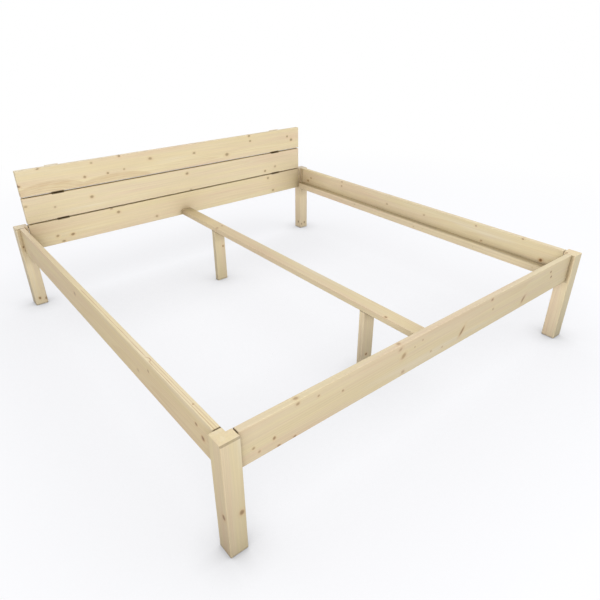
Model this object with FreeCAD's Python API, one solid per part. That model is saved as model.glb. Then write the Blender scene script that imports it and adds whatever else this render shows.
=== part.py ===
import FreeCAD, Part
import os
from math import cos, pi, sin
from FreeCAD import Placement, Rotation, Vector

# A knock-down spruce bed frame. Origin: middle of the footprint on the floor.
# +X is the right side seen from the foot end, +Y points to the head end, +Z is up.

# Mattress that the bay is made for, and the room round it
mattress_width = 1930.0
mattress_length = 2030.0
room_across = 14.0
room_along = 12.0

# Boards: the rails and the headboard planks are one stock
board_width = 140.0
board_thickness = 26.0
board_edge_round = 3.0
plank_edge_round = 1.5
end_ease = 1.2
floor_to_boards = 325.0
plank_gap = 8.0
plank_names = ("lower", "middle", "upper")

# Corner posts, notched on the inside beside the boards so that the bay keeps its full corners
post_section = 66.0
rail_setback = 19.0
post_edge_round = 4.0
foot_chamfer_share = 0.75

# Slat ledges on the inner faces of the side rails
ledge_width = 40.0
ledge_height = 40.0
ledge_edge_bevel = 2.0
ledge_end_gap = 8.0
ledge_screw_count = 6
ledge_screw_margin = 110.0
ledge_screw_bite = 16.0

# Battens that carry the upper planks
batten_width = 70.0
batten_thickness = 18.0
batten_inset = 160.0
batten_bottom_gap = 10.0
batten_edge_bevel = 2.0
batten_screw_shares = (-0.27, 0.27)
batten_screw_bite = 17.0

# Centre beam and its two legs, from one strip stock
beam_width = 70.0
beam_thickness = 28.0
beam_rise = 5.0
beam_edge_round = 3.0
leg_thickness = 30.0
leg_side_inset = 1.0
leg_from_bay_end = 391.0
dowel_diameter = 8.0
dowel_clearance = 0.1
dowel_in_beam = 16.0
dowel_in_leg = 26.0
dowel_shares = (-0.25, 0.25)
dowel_flutes = 10

# Steel angles under the beam's ends: one arm stands behind the end, the other carries it
bracket_width = 50.0
bracket_arm = 40.0
bracket_thickness = 2.0
bracket_edge_gap = 4.0
bracket_hole_shares = (-0.3, 0.3)
bracket_hole_reach = 0.6
bracket_screw_bite = 16.0

# Hook-in fittings between the rail ends and the posts
hook_plate_thickness = 3.0
keeper_thickness = 3.0
plate_side_margin = 4.0
plate_end_margin = 15.0
plate_corner_bevel = 3.0
mortise_clearance = 0.3
hook_thickness = 3.0
hook_arm_height = 11.0
hook_drop = 9.0
hook_tooth = 4.0
hook_lead_share = 0.45
hook_clearance = 0.3
slot_clearance = 0.6
pocket_clearance = 1.2
hook_seat_shares = (-0.3, 0.12)
plate_screw_shares = (-0.43, 0.43)
hook_screw_bite = 32.0
keeper_screw_bite = 20.0

# Countersunk wood screws, drawn with few sides because there are many of them
screw_shank = 4.0
screw_head = 7.6
screw_sides = 6
head_recess = 0.2
screw_clearance = 0.2

# How far a cutter runs past the face that it cuts
overrun = 2.0

# Sizes that follow from the ones above
post_wall = rail_setback + board_thickness
bay_width = mattress_width + room_across
bay_length = mattress_length + room_along
half_width = bay_width / 2 + post_wall
half_length = bay_length / 2 + post_wall
post_height = floor_to_boards + board_width
rail_line = rail_setback + board_thickness / 2
rail_half_length = half_length - post_section - hook_plate_thickness
board_half_length = half_width - post_section - hook_plate_thickness
beam_bottom = floor_to_boards + beam_rise
beam_top = beam_bottom + beam_thickness
bay_half_length = bay_length / 2
plate_width = board_thickness - 2 * plate_side_margin
plate_height = board_width - 2 * plate_end_margin
slot_half_width = hook_thickness / 2 + slot_clearance
slot_height = hook_arm_height + hook_drop + slot_clearance
hook_inner = keeper_thickness + hook_clearance
hook_reach = hook_inner + hook_tooth

ways = {"x": Vector(1, 0, 0), "y": Vector(0, 1, 0), "z": Vector(0, 0, 1)}
parallel_share = 0.99

pieces = {}
holes = {}


def block(low, high):
    size = high - low
    return Part.makeBox(size.x, size.y, size.z, low)


def edges_along(shape, way):
    straight = [edge for edge in shape.Edges if isinstance(edge.Curve, Part.Line)]
    return [edge for edge in straight if abs(edge.Curve.Direction.dot(ways[way])) > parallel_share]


def eased_ends(shape, way):
    """The shape with the outline of both its end faces sanded to a small bevel."""
    ordered = sorted(shape.Faces, key=lambda face: face.CenterOfMass.dot(ways[way]))
    return shape.makeChamfer(end_ease, ordered[0].Edges + ordered[-1].Edges)


def bar(low, high, way, edge_round):
    """A board between two corners, with its four long edges rounded."""
    blank = block(Vector(*low), Vector(*high))
    return blank.makeFillet(edge_round, edges_along(blank, way))


def strip(low, high, way, edge_bevel):
    """A lath or a plate between two corners, with its four long edges bevelled."""
    blank = block(Vector(*low), Vector(*high))
    return blank.makeChamfer(edge_bevel, edges_along(blank, way))


def flat_face(corners):
    return Part.Face(Part.makePolygon(corners + corners[:1]))


def faceted(stations, sides):
    """A many-sided solid about X with flat walls, through (along, radius) stations."""
    angles = [2 * pi * side / sides for side in range(sides)]
    rings = [[Vector(along, radius * cos(angle), radius * sin(angle)) for angle in angles]
             for along, radius in stations]
    faces = [flat_face(rings[0]), flat_face(rings[-1])]
    for near, far in zip(rings, rings[1:]):
        faces += [flat_face([near[side - 1], near[side], far[side], far[side - 1]])
                  for side in range(sides)]
    return Part.Solid(Part.Shell(faces))


def placed(shape, place):
    moved = shape.copy()
    moved.Placement = place.multiply(moved.Placement)
    return moved


def aimed(point, direction):
    """A place whose +X points along the direction."""
    return Placement(Vector(*point), Rotation(ways["x"], Vector(*direction)))


# Screws and dowels


def wood_screw(length):
    head, shank = screw_head / 2, screw_shank / 2
    return faceted([(head_recess, head), (head_recess + head - shank, shank), (length, shank)], screw_sides)


def screw_hole(length):
    head, shank = screw_head / 2 + screw_clearance, screw_shank / 2 + screw_clearance
    return faceted([(-overrun, head), (head_recess, head), (head_recess + head - shank, shank),
                    (length + screw_clearance, shank)], screw_sides)


def dowel(radius, clearance):
    """A fluted dowel about the joint between leg and beam, or with a clearance its bore."""
    ends = [(-dowel_in_leg - clearance, radius + clearance), (dowel_in_beam + clearance, radius + clearance)]
    return faceted(ends, dowel_flutes)


def drill(nodes, cutter):
    for node in nodes:
        holes.setdefault(node, []).append(cutter)


def screw_group(name, length, jobs):
    """Screws of one length: each job is a place and the nodes that the screw goes through."""
    for place, nodes in jobs:
        drill(nodes, placed(screw_hole(length), place))
    pieces[name] = Part.makeCompound([placed(wood_screw(length), place) for place, nodes in jobs])


# Corner posts


def corner_post():
    """A square post, outer corner at the origin, with its inner corner cut away beside the boards."""
    blank = bar((0, 0, 0), (post_section, post_section, post_height), "z", post_edge_round)
    foot = min(blank.Faces, key=lambda face: face.CenterOfMass.z)
    footed = blank.makeChamfer(foot_chamfer_share * post_edge_round, foot.Edges)
    notch = block(Vector(post_wall, post_wall, floor_to_boards),
                  Vector(post_section + overrun, post_section + overrun, post_height + overrun))
    notched = footed.cut(notch)
    top = max(notched.Faces, key=lambda face: face.CenterOfMass.z)
    lips = [Vector(post_section, post_wall, 0), Vector(post_wall, post_section, 0)]
    sawn = [edge for edge in edges_along(notched, "z")
            if any(edge.CenterOfMass.distanceToLine(lip, ways["z"]) < end_ease for lip in lips)]
    return notched.makeChamfer(end_ease, top.Edges + sawn)


def build_posts():
    corners = {
        "post_front_left": (-half_width, -half_length, 0),
        "post_front_right": (half_width, -half_length, 90),
        "post_rear_right": (half_width, half_length, 180),
        "post_rear_left": (-half_width, half_length, 270),
    }
    for name, (x, y, turn) in corners.items():
        pieces[name] = placed(corner_post(), Placement(Vector(x, y, 0), Rotation(ways["z"], turn)))


# Rails, headboard planks and battens


def build_boards():
    for side, sign in (("left", -1), ("right", 1)):
        near, far = sorted((sign * (half_width - rail_setback), sign * (half_width - post_wall)))
        pieces[f"side_rail_{side}"] = bar((near, -rail_half_length, floor_to_boards),
                                          (far, rail_half_length, post_height), "y", board_edge_round)
    pieces["foot_rail"] = bar((-board_half_length, -half_length + rail_setback, floor_to_boards),
                              (board_half_length, -half_length + post_wall, post_height),
                              "x", board_edge_round)
    for row, name in enumerate(plank_names):
        bottom = floor_to_boards + row * (board_width + plank_gap)
        plank = bar((-board_half_length, half_length - post_wall, bottom),
                    (board_half_length, half_length - rail_setback, bottom + board_width),
                    "x", plank_edge_round)
        pieces[f"head_plank_{name}"] = eased_ends(plank, "x")


def build_battens():
    plank_rear = half_length - rail_setback
    batten_rear = plank_rear + batten_thickness
    headboard_top = pieces[f"head_plank_{plank_names[-1]}"].BoundBox.ZMax
    middle = board_half_length - batten_inset - batten_width / 2
    jobs = []
    for side, sign in (("left", -1), ("right", 1)):
        x = sign * middle
        name = f"headboard_batten_{side}"
        pieces[name] = strip((x - batten_width / 2, plank_rear, floor_to_boards + batten_bottom_gap),
                             (x + batten_width / 2, batten_rear, headboard_top), "z", batten_edge_bevel)
        for row, plank in enumerate(plank_names):
            centre = floor_to_boards + row * (board_width + plank_gap) + board_width / 2
            for share in batten_screw_shares:
                place = aimed((x, batten_rear, centre + share * board_width), (0, -1, 0))
                jobs.append((place, (name, f"head_plank_{plank}")))
    screw_group("batten_screws", batten_thickness + batten_screw_bite, jobs)


# Slat ledges


def build_ledges():
    end = half_length - post_section - ledge_end_gap
    first = end - ledge_screw_margin
    step = 2 * first / (ledge_screw_count - 1)
    middle_z = floor_to_boards + ledge_height / 2
    jobs = []
    for side, sign in (("left", -1), ("right", 1)):
        face = sign * bay_width / 2
        inner = face - sign * ledge_width
        name = f"slat_ledge_{side}"
        pieces[name] = strip((min(face, inner), -end, floor_to_boards),
                             (max(face, inner), end, floor_to_boards + ledge_height),
                             "y", ledge_edge_bevel)
        for index in range(ledge_screw_count):
            place = aimed((inner, index * step - first, middle_z), (sign, 0, 0))
            jobs.append((place, (name, f"side_rail_{side}")))
    screw_group("ledge_screws", ledge_width + ledge_screw_bite, jobs)


# Centre beam, its legs and its end brackets


def build_beam():
    half_beam, beam_end = beam_width / 2, bay_half_length - bracket_thickness
    pieces["centre_beam"] = bar((-half_beam, -beam_end, beam_bottom),
                                (half_beam, beam_end, beam_top), "y", beam_edge_round)
    half_leg = half_beam - leg_side_inset
    radius = dowel_diameter / 2
    dowels = []
    for end, sign in (("front", -1), ("rear", 1)):
        y = sign * (bay_half_length - leg_from_bay_end)
        name = f"centre_leg_{end}"
        pieces[name] = bar((-half_leg, y - leg_thickness / 2, 0),
                           (half_leg, y + leg_thickness / 2, beam_bottom), "z", beam_edge_round)
        for share in dowel_shares:
            place = aimed((share * beam_width, y, beam_bottom), (0, 0, 1))
            dowels.append(placed(dowel(radius, 0), place))
            drill((name, "centre_beam"), placed(dowel(radius, dowel_clearance), place))
    pieces["leg_dowels"] = Part.makeCompound(dowels)


def build_beam_brackets():
    low, high = beam_bottom - bracket_thickness, beam_top - bracket_edge_gap
    side = bracket_width / 2
    middle_z = (beam_bottom + high) / 2
    jobs = []
    for end, sign, board in (("foot", -1, "foot_rail"), ("head", 1, f"head_plank_{plank_names[0]}")):
        name = f"beam_bracket_{end}"
        wall = sign * bay_half_length
        front, tip = wall - sign * bracket_thickness, wall - sign * bracket_arm
        on_wall = block(Vector(-side, min(wall, front), low), Vector(side, max(wall, front), high))
        under_beam = block(Vector(-side, min(wall, tip), low), Vector(side, max(wall, tip), beam_bottom))
        pieces[name] = on_wall.fuse(under_beam).removeSplitter()
        for share in bracket_hole_shares:
            x, y = share * bracket_width, wall - sign * bracket_hole_reach * bracket_arm
            jobs.append((aimed((x, front, middle_z), (0, sign, 0)), (name, board)))
            jobs.append((aimed((x, y, low), (0, 0, 1)), (name, "centre_beam")))
    screw_group("beam_bracket_screws", bracket_thickness + bracket_screw_bite, jobs)


# Hook-in fittings, in a frame of their own: X = 0 is the post's face and +X goes into the post


def fitting_plate(near, far):
    half_wide, half_high = plate_width / 2, plate_height / 2
    return strip((near, -half_wide, -half_high), (far, half_wide, half_high), "x", plate_corner_bevel)


def hook(seat):
    """A hook on the rail's plate: an arm that sits in the slot and a tooth behind the keeper."""
    lead = hook_lead_share * hook_tooth
    outline = [(0, seat), (hook_inner, seat), (hook_inner, seat - hook_drop),
               (hook_reach - lead, seat - hook_drop), (hook_reach, seat - hook_drop + lead),
               (hook_reach, seat + hook_arm_height), (0, seat + hook_arm_height)]
    side = flat_face([Vector(x, -hook_thickness / 2, z) for x, z in outline])
    return side.extrude(Vector(0, hook_thickness, 0))


def hook_plate():
    plate = fitting_plate(-hook_plate_thickness, 0)
    return plate.fuse([hook(share * plate_height) for share in hook_seat_shares]).removeSplitter()


def keeper_plate():
    slots = []
    for share in hook_seat_shares:
        seat = share * plate_height
        slots.append(block(Vector(-overrun, -slot_half_width, seat),
                           Vector(keeper_thickness + overrun, slot_half_width, seat + slot_height)))
    return fitting_plate(0, keeper_thickness).cut(slots)


def keeper_mortise():
    """The recess that lets a keeper plate into its post, with a pocket behind each slot."""
    half_wide, half_high = plate_width / 2 + mortise_clearance, plate_height / 2 + mortise_clearance
    cutters = [block(Vector(-overrun, -half_wide, -half_high),
                     Vector(keeper_thickness, half_wide, half_high))]
    for share in hook_seat_shares:
        seat = share * plate_height
        cutters.append(block(Vector(0, -slot_half_width, seat - hook_drop - pocket_clearance),
                             Vector(hook_reach + pocket_clearance, slot_half_width, seat + slot_height)))
    return cutters


def build_fittings():
    side_line, end_line = half_width - rail_line, half_length - rail_line
    side_face, end_face = half_length - post_section, half_width - post_section
    height = floor_to_boards + board_width / 2
    lower_plank = f"head_plank_{plank_names[0]}"
    ends = {
        "left_rail_foot": ("side_rail_left", "post_front_left", -side_line, -side_face, 270),
        "left_rail_head": ("side_rail_left", "post_rear_left", -side_line, side_face, 90),
        "right_rail_foot": ("side_rail_right", "post_front_right", side_line, -side_face, 270),
        "right_rail_head": ("side_rail_right", "post_rear_right", side_line, side_face, 90),
        "foot_rail_left": ("foot_rail", "post_front_left", -end_face, -end_line, 180),
        "foot_rail_right": ("foot_rail", "post_front_right", end_face, -end_line, 0),
        "head_plank_left": (lower_plank, "post_rear_left", -end_face, end_line, 180),
        "head_plank_right": (lower_plank, "post_rear_right", end_face, end_line, 0),
    }
    hook_jobs, keeper_jobs = [], []
    for end, (board, post, x, y, turn) in ends.items():
        place = Placement(Vector(x, y, height), Rotation(ways["z"], turn))
        pieces[f"hook_plate_{end}"] = placed(hook_plate(), place)
        pieces[f"keeper_plate_{end}"] = placed(keeper_plate(), place)
        for cutter in keeper_mortise():
            drill((post,), placed(cutter, place))
        for share in plate_screw_shares:
            point = (0, 0, share * plate_height)
            hook_jobs.append((place.multiply(aimed(point, (-1, 0, 0))), (f"hook_plate_{end}", board)))
            keeper_jobs.append((place.multiply(aimed(point, (1, 0, 0))), (f"keeper_plate_{end}", post)))
    screw_group("hook_plate_screws", hook_plate_thickness + hook_screw_bite, hook_jobs)
    screw_group("keeper_plate_screws", keeper_thickness + keeper_screw_bite, keeper_jobs)


def write_pieces():
    os.makedirs("parts", exist_ok=True)
    for name, shape in pieces.items():
        finished = shape.cut(holes[name]) if name in holes else shape
        finished.exportStep(f"parts/{name}.step")
    print(f"{len(pieces)} nodes, bed {2 * half_width} x {2 * half_length} mm")


build_posts()
build_boards()
build_battens()
build_ledges()
build_beam()
build_beam_brackets()
build_fittings()
write_pieces()
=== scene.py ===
from math import radians

import bmesh
import bpy
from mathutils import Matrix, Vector


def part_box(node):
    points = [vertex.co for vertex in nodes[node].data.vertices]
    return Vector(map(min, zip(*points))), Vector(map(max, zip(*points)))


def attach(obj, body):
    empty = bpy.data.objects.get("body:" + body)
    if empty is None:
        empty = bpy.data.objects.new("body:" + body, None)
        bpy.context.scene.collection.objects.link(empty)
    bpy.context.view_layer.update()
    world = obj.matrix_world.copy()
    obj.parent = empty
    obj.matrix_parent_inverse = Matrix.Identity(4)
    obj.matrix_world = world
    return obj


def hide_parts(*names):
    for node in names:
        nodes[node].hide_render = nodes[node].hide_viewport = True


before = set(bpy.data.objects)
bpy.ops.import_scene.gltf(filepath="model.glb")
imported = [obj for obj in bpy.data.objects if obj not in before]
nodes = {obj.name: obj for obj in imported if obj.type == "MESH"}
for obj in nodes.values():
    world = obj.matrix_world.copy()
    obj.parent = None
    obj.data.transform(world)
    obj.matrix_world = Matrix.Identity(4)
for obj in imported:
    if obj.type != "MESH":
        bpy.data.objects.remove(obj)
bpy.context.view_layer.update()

scene = bpy.context.scene
scene.view_settings.view_transform = "Standard"
print("frame loaded:", len(nodes), "nodes")


# Wiring for node trees: node() gives back the node that it adds, the other calls what comes out of it

class Wiring:
    def __init__(self, tree):
        self.tree = tree

    def node(self, kind, inputs=(), **settings):
        made = self.tree.nodes.new(kind)
        for name, value in settings.items():
            setattr(made, name, value)
        for slot, value in dict(inputs).items():
            if isinstance(value, bpy.types.NodeSocket):
                self.tree.links.new(value, made.inputs[slot])
            else:
                made.inputs[slot].default_value = value
        return made

    def math(self, operation, *values):
        return self.node("ShaderNodeMath", enumerate(values), operation=operation).outputs[0]

    def product(self, first, *others):
        for other in others:
            first = self.math("MULTIPLY", first, other)
        return first

    def vector(self, operation, *values):
        return self.node("ShaderNodeVectorMath", enumerate(values), operation=operation).outputs[0]

    def scaled(self, value, size):
        return self.node("ShaderNodeVectorMath", {0: value, "Scale": size}, operation="SCALE").outputs[0]

    def length(self, value):
        return self.node("ShaderNodeVectorMath", {0: value}, operation="LENGTH").outputs["Value"]

    def dot(self, first, second):
        pair = {0: first, 1: second}
        return self.node("ShaderNodeVectorMath", pair, operation="DOT_PRODUCT").outputs["Value"]

    def ramp(self, value, low, high, toLow=0.0, toHigh=1.0):
        sockets = {"Value": value, "From Min": low, "From Max": high, "To Min": toLow, "To Max": toHigh}
        return self.node("ShaderNodeMapRange", sockets, interpolation_type="SMOOTHSTEP").outputs[0]

    def noise(self, place, detail, roughness=0.5):
        sockets = {"Vector": place, "Scale": 1.0, "Detail": detail, "Roughness": roughness}
        return self.node("ShaderNodeTexNoise", sockets).outputs[0]

    def blend(self, share, first, second, how="MIX"):
        mix = self.node("ShaderNodeMix", {0: share, 6: first, 7: second}, data_type="RGBA", blend_type=how)
        return mix.outputs[2]

    def group(self, tree, inputs):
        kind = self.tree.bl_idname.replace("Tree", "Group")
        return self.node(kind, inputs, node_tree=tree).outputs

    def give(self, out, **results):
        for name, value in results.items():
            self.tree.links.new(value, out.inputs[name])


def newGroup(name, kind, inputs, outputs):
    tree = bpy.data.node_groups.new(name, kind)
    for label, socket in inputs:
        tree.interface.new_socket(label, in_out="INPUT", socket_type="NodeSocket" + socket)
    for label, socket in outputs:
        tree.interface.new_socket(label, in_out="OUTPUT", socket_type="NodeSocket" + socket)
    w = Wiring(tree)
    return tree, w, w.node("NodeGroupInput").outputs, w.node("NodeGroupOutput")


def newMaterial(name):
    material = bpy.data.materials.new(name)
    material.use_nodes = True
    material.node_tree.nodes.clear()
    return material, Wiring(material.node_tree)


def dress(name, material):
    slots = nodes[name].data.materials
    slots.clear()
    slots.append(material)


def rgb(red, green, blue):
    return (red, green, blue, 1.0)


white = (1.0, 1.0, 1.0)


# Spruce: rings about a pith, streaks along the grain, knots that the grain flows round

spruce = {
    "ringPitch": 0.0036,      # metres between growth rings
    "taper": 0.006,           # how fast the rings lean along the board
    "wobble": 0.012,          # slow waves of the rings, in metres
    "unevenYears": 5.0,       # rings by which the years bunch and spread
    "lateRise": (0.35, 0.90),  # part of the year over which a ring darkens
    "lateFall": (1.00, 0.93),
    "noises": {               # cycles per metre along and across the grain, octaves, roughness
        "waves": (0.9, 6.0, 2.0, 0.5),
        "uneven": (0.25, 14.0, 1.0, 0.5),
        "patches": (1.6, 16.0, 2.0, 0.5),
        "bands": (1.1, 20.0, 3.0, 0.55),
        "streaks": (3.0, 150.0, 3.0, 0.6),
        "fibres": (40.0, 1500.0, 2.0, 0.6),
    },
    "patchRange": (0.38, 0.62),
    "patchShare": (0.45, 1.30),   # of late wood, patch by patch
    "streakRange": (0.25, 0.75),
    "streakShade": (0.955, 1.035),
    "fibreRange": (0.2, 0.8),
    "fibreShade": (0.970, 1.025),
    "bandStops": {"pink": 0.30, "cream": 0.44, "straw": 0.58, "pale": 0.72},
    "pink": rgb(0.775, 0.610, 0.415),
    "cream": rgb(0.790, 0.655, 0.440),
    "straw": rgb(0.800, 0.675, 0.425),
    "pale": rgb(0.815, 0.705, 0.505),
    "late": rgb(0.600, 0.390, 0.190),
    "vein": rgb(0.480, 0.250, 0.095),
    "endGrain": rgb(1.02, 1.01, 1.00),
    # colour of the painted shade lines along gaps, joints and corners
    "shadeLine": rgb(0.100, 0.058, 0.018),
    "cornerShadeColour": rgb(0.33, 0.268, 0.172),  # painted corner shade: what is left of the colour deep in a joint
    "cornerReach": (0.06, 0.38),            # metres, at the foot end and at the head end
    "cornerSpan": (-0.4, 1.0),              # places along the bed between which the reach grows
    "cornerOpening": (0.15, 0.94),          # shares of open sky that count as fully shaded and as unshaded
    "cornerFade": (0.34, 0.24),             # heights over which it ends, as the floor leaves none
    "cornerSamples": 4,
    "roughness": (0.46, 0.62),
    "knotGloss": 0.12,
    "shadeLineRoughness": 1.0,
    "shadeLineOnset": 0.03,        # darkness from which a painted shade line is rough
    "shadeLineCore": 0.4,          # share of its width that is dark all through
    "specular": 0.35,
    "bumpHeight": 0.0003,
    "bumpStrength": 0.4,
    "lateRelief": 0.50,
    "fibreRelief": 0.35,
    "knotRelief": 0.50,
    "faceLightTurn": (0.5, 0.9),   # how squarely a face looks that way before it takes its tint of painted light and shade
    "endTurn": (0.6, 0.9),
}
knotLook = {
    "halo": rgb(0.700, 0.455, 0.225),
    "brownRing": rgb(0.440, 0.240, 0.100),
    "oliveRing": rgb(0.410, 0.285, 0.145),  # on the planks and the rear posts
    "heart": rgb(0.170, 0.090, 0.038),
    "haloReach": (-1.3, 0.1),  # nearness: 1 at the centre, 0 at the rim
    "haloShare": 0.48,
    "ringReach": (-0.2, 0.25),
    "heartReach": (0.10, 0.65),
    "bulgeReach": (2.4, 0.4),  # radii between which the grain is pushed aside
    "bulge": 0.6,
    "farAway": -9.0,           # nearness where there is no knot
    "wander": 0.0045,          # metres that a knot's outline strays
    "wanderScale": 55.0,
    "throughRadius": 0.2,      # metres, more than any board is thick
    "cornerStretch": 1.3,      # of a corner knot, along the grain
}
veinLook = {
    "waver": 0.004,            # metres that the line strays
    "waverScale": (7.0, 0.0, 0.0),
    "sharpness": 5.0,          # of its upper side, against the lower
    "endFade": 0.06,           # share of its length
    "patchScale": (16.0, 60.0, 60.0),
    "patchRange": (0.25, 0.60),
    "patchShare": (0.55, 1.00),
}


def knotGroup():
    tree, w, given, out = newGroup(
        "grain round a knot", "ShaderNodeTree",
        [("Spot", "Vector"), ("Grain", "Vector"), ("Near", "Float"), ("Depth", "Float"),
         ("Centre", "Vector"), ("Radius", "Vector"), ("Lean", "Float"), ("Darkness", "Float")],
        [("Grain", "Vector"), ("Near", "Float"), ("Depth", "Float")])
    upright = w.vector("SUBTRACT", given["Spot"], given["Centre"])
    leaning = w.product(w.dot(upright, (0.0, 1.0, 0.0)), given["Lean"])
    offset = w.vector("SUBTRACT", upright, w.node("ShaderNodeCombineXYZ", {0: leaning}).outputs[0])
    reach = w.length(w.vector("DIVIDE", offset, given["Radius"]))
    near = w.math("SUBTRACT", 1.0, reach)
    bulge = w.ramp(reach, *knotLook["bulgeReach"], 0.0, knotLook["bulge"])
    push = w.scaled(w.vector("MULTIPLY", offset, (0.0, 1.0, 1.0)), bulge)
    closer = w.math("GREATER_THAN", near, given["Near"])
    depth = w.node("ShaderNodeMix", {0: closer, 2: given["Depth"], 3: given["Darkness"]}).outputs[0]
    w.give(out, Grain=w.vector("SUBTRACT", given["Grain"], push), Depth=depth,
           Near=w.math("MAXIMUM", near, given["Near"]))
    return tree


def veinGroup():
    tree, w, given, out = newGroup(
        "dark vein", "ShaderNodeTree",
        [("Grain", "Vector"), ("Vein", "Float"), ("Side", "Vector"), ("Offset", "Float"), ("Bow", "Float"),
         ("Width", "Float"), ("Start", "Float"), ("End", "Float"), ("Darkness", "Float")],
        [("Vein", "Float")])
    along = w.node("ShaderNodeSeparateXYZ", {0: given["Grain"]}).outputs[0]
    share = w.math("DIVIDE", w.math("SUBTRACT", along, given["Start"]),
                   w.math("SUBTRACT", given["End"], given["Start"]))
    arch = w.product(share, w.math("SUBTRACT", 1.0, share), 4.0, given["Bow"])  # full at mid length
    wander = w.noise(w.vector("MULTIPLY", given["Grain"], veinLook["waverScale"]), detail=2.0)
    waver = w.math("MULTIPLY_ADD", wander, veinLook["waver"], -veinLook["waver"] / 2)
    line = w.math("ADD", w.math("ADD", given["Offset"], arch), waver)
    above = w.math("SUBTRACT", w.dot(given["Grain"], given["Side"]), line)
    below = w.math("MULTIPLY", above, -1.0)
    away = w.math("MAXIMUM", w.math("MULTIPLY", above, veinLook["sharpness"]), below)
    fade = veinLook["endFade"]
    ends = w.product(w.ramp(share, 0.0, fade), w.ramp(share, 1.0, 1.0 - fade))
    patches = w.noise(w.vector("MULTIPLY", given["Grain"], veinLook["patchScale"]), detail=2.0)
    patchy = w.ramp(patches, *veinLook["patchRange"], *veinLook["patchShare"])
    core = w.ramp(w.math("DIVIDE", away, given["Width"]), 1.0, 0.0)
    shown = w.product(core, ends, patchy, given["Darkness"])
    w.give(out, Vein=w.math("MAXIMUM", shown, given["Vein"]))
    return tree


# a painted shade line: darkness along a line across or through the grain
def shadeLineGroup():
    tree, w, given, out = newGroup(
        "painted shade line", "ShaderNodeTree",
        [("Spot", "Vector"), ("Seam", "Float"), ("Side", "Vector"), ("Offset", "Float"), ("Width", "Float"),
         ("Start", "Float"), ("End", "Float"), ("Soft", "Float"), ("Darkness", "Float")],
        [("Seam", "Float")])
    along = w.node("ShaderNodeSeparateXYZ", {0: given["Spot"]}).outputs[0]
    away = w.math("ABSOLUTE", w.math("SUBTRACT", w.dot(given["Spot"], given["Side"]), given["Offset"]))
    inside = w.math("MINIMUM", w.math("SUBTRACT", along, given["Start"]),
                    w.math("SUBTRACT", given["End"], along))
    core = w.ramp(w.math("DIVIDE", away, given["Width"]), 1.0, spruce["shadeLineCore"])
    shown = w.product(core, w.ramp(inside, 0.0, given["Soft"]), given["Darkness"])
    w.give(out, Seam=w.math("MAXIMUM", shown, given["Seam"]))
    return tree


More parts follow.
